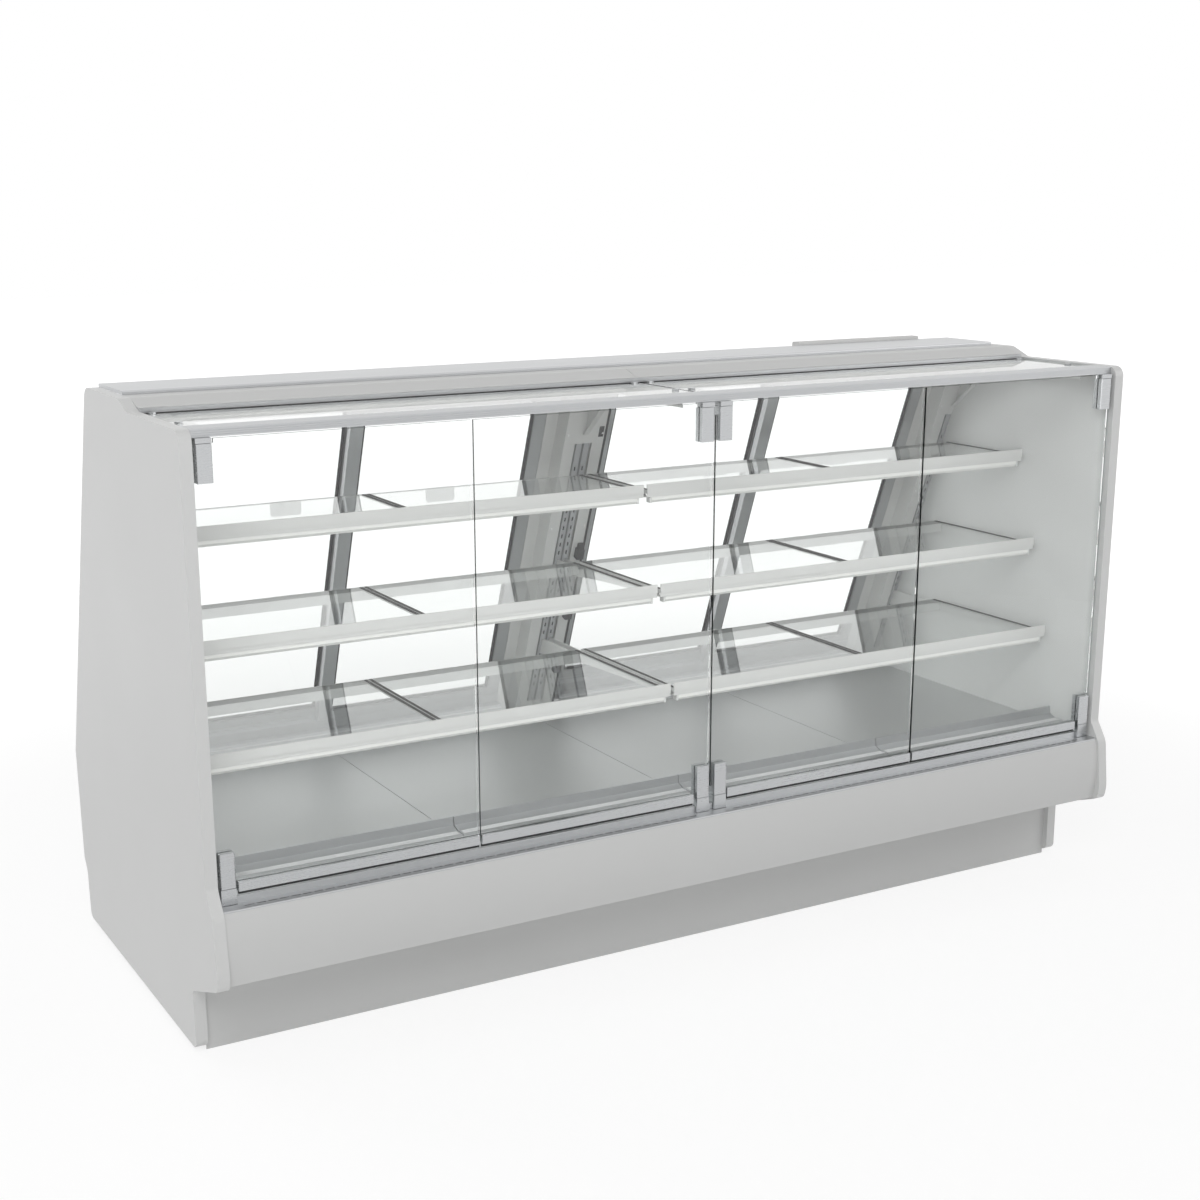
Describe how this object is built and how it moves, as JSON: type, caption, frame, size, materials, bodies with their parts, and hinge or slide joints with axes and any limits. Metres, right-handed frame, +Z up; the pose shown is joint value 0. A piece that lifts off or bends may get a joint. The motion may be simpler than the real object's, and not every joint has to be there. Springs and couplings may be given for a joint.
{
  "type": "refrigerated display case",
  "caption": "Long floor-standing refrigerated display case with pivoting front glass, glass shelves on a slotted upright frame, sliding rear doors and a slim lit canopy.",
  "frame": {"origin": "bottom centre of the whole case, on the floor", "axes": "+X along the case towards the customer's right, +Y from the customer's side to the server's side, +Z up"},
  "size_m": [2.489, 1.1002, 1.419],
  "materials": {
    "painted": "satin white paint",
    "end_panel": "satin white moulded skin",
    "frame_steel": "matt grey paint",
    "foot": "matt black",
    "liner": "matt white",
    "steel": "brushed",
    "cladding": "satin light grey paint",
    "shelf_paint": "satin white paint",
    "standard": "satin light grey paint",
    "aluminium": "satin anodised",
    "clamp_metal": "fine brushed",
    "clear_glass": "clear polished",
    "lamp": "diffusing white",
    "grey_plastic": "matt light grey",
    "dark_plastic": "matt black",
    "coil_fins": "finned",
    "compressor_paint": "gloss black paint",
    "copper": "bare copper"
  },
  "bodies": {
    "case": {"base_frame": "frame_steel", "canopy_bolts": "clamp_metal", "canopy_fascia": "cladding", "canopy_frame": "cladding", "canopy_glass": "clear_glass", "canopy_header": "aluminium", "canopy_lamps": "lamp", "canopy_rear_rail": "aluminium", "compressor": "compressor_paint", "condensate_pan": "steel", "condenser_coil": "coil_fins", "deck_pans": "steel", "electrical_box": "dark_plastic", "end_panel_left": "end_panel", "end_panel_right": "end_panel", "evaporator_coil": "coil_fins", "evaporator_fan_plate": "steel", "front_air_rails": "steel", "insulated_tub": "liner", "kick_panel": "painted", "lamp_sockets": "dark_plastic", "levelling_feet": "foot", "lower_front_panel": "painted", "pivot_blocks": "clamp_metal", "rear_door_tracks": "aluminium", "rear_posts": "cladding", "rear_raceway": "grey_plastic", "rear_service_panel": "cladding", "rear_tag_plates": "grey_plastic", "refrigerant_pipes": "copper", "shelf_frame_left_lower": "shelf_paint", "shelf_frame_left_middle": "shelf_paint", "shelf_frame_left_top": "shelf_paint", "shelf_frame_right_lower": "shelf_paint", "shelf_frame_right_middle": "shelf_paint", "shelf_frame_right_top": "shelf_paint", "shelf_glass": "clear_glass", "shelf_light_bars": "lamp", "shelf_standards": "standard", "slotted_front_sill": "steel", "worktop": "steel"},
    "glass_door_1": {"glass_door_1_pane": "clear_glass", "glass_door_1_fittings": "clamp_metal"},
    "rear_door_1": {"rear_door_1_frame": "aluminium", "rear_door_1_glass": "clear_glass"},
    "glass_door_2": {"glass_door_2_pane": "clear_glass", "glass_door_2_fittings": "clamp_metal"},
    "rear_door_2": {"rear_door_2_frame": "aluminium", "rear_door_2_glass": "clear_glass"},
    "glass_door_3": {"glass_door_3_pane": "clear_glass", "glass_door_3_fittings": "clamp_metal"},
    "rear_door_3": {"rear_door_3_frame": "aluminium", "rear_door_3_glass": "clear_glass"},
    "glass_door_4": {"glass_door_4_pane": "clear_glass", "glass_door_4_fittings": "clamp_metal"},
    "rear_door_4": {"rear_door_4_frame": "aluminium", "rear_door_4_glass": "clear_glass"},
    "evaporator_fan_1": {"evaporator_fan_1": "dark_plastic"},
    "evaporator_fan_2": {"evaporator_fan_2": "dark_plastic"},
    "condenser_fan": {"condenser_fan": "dark_plastic"}
  },
  "joints": [
    {"name": "glass_door_1_hinge", "type": "hinge", "parent": "case", "child": "glass_door_1", "pos_m": [-1.193, -0.48349, 0.40703], "axis": [0, 0.0105, -0.9999], "range_deg": [0, 90]},
    {"name": "glass_door_2_hinge", "type": "hinge", "parent": "case", "child": "glass_door_2", "pos_m": [-0.0245, -0.48349, 0.40703], "axis": [0, -0.0105, 0.9999], "range_deg": [0, 90]},
    {"name": "glass_door_3_hinge", "type": "hinge", "parent": "case", "child": "glass_door_3", "pos_m": [0.0245, -0.48349, 0.40703], "axis": [0, 0.0105, -0.9999], "range_deg": [0, 90]},
    {"name": "glass_door_4_hinge", "type": "hinge", "parent": "case", "child": "glass_door_4", "pos_m": [1.193, -0.48349, 0.40703], "axis": [0, -0.0105, 0.9999], "range_deg": [0, 90]},
    {"name": "rear_door_1_slide", "type": "slide", "parent": "case", "child": "rear_door_1", "axis": [1, 0, 0], "range_m": [0, 0.49]},
    {"name": "rear_door_2_slide", "type": "slide", "parent": "case", "child": "rear_door_2", "axis": [-1, 0, 0], "range_m": [0, 0.49]},
    {"name": "rear_door_3_slide", "type": "slide", "parent": "case", "child": "rear_door_3", "axis": [1, 0, 0], "range_m": [0, 0.49]},
    {"name": "rear_door_4_slide", "type": "slide", "parent": "case", "child": "rear_door_4", "axis": [-1, 0, 0], "range_m": [0, 0.49]},
    {"name": "evaporator_fan_1_spin", "type": "hinge", "parent": "case", "child": "evaporator_fan_1", "pos_m": [-0.7, -0.28689, 0.319], "axis": [0, 1, 0], "continuous": true},
    {"name": "evaporator_fan_2_spin", "type": "hinge", "parent": "case", "child": "evaporator_fan_2", "pos_m": [0, -0.28689, 0.319], "axis": [0, 1, 0], "continuous": true},
    {"name": "condenser_fan_spin", "type": "hinge", "parent": "case", "child": "condenser_fan", "pos_m": [0.6, 0.34311, 0.136], "axis": [0, 1, 0], "continuous": true}
  ]
}
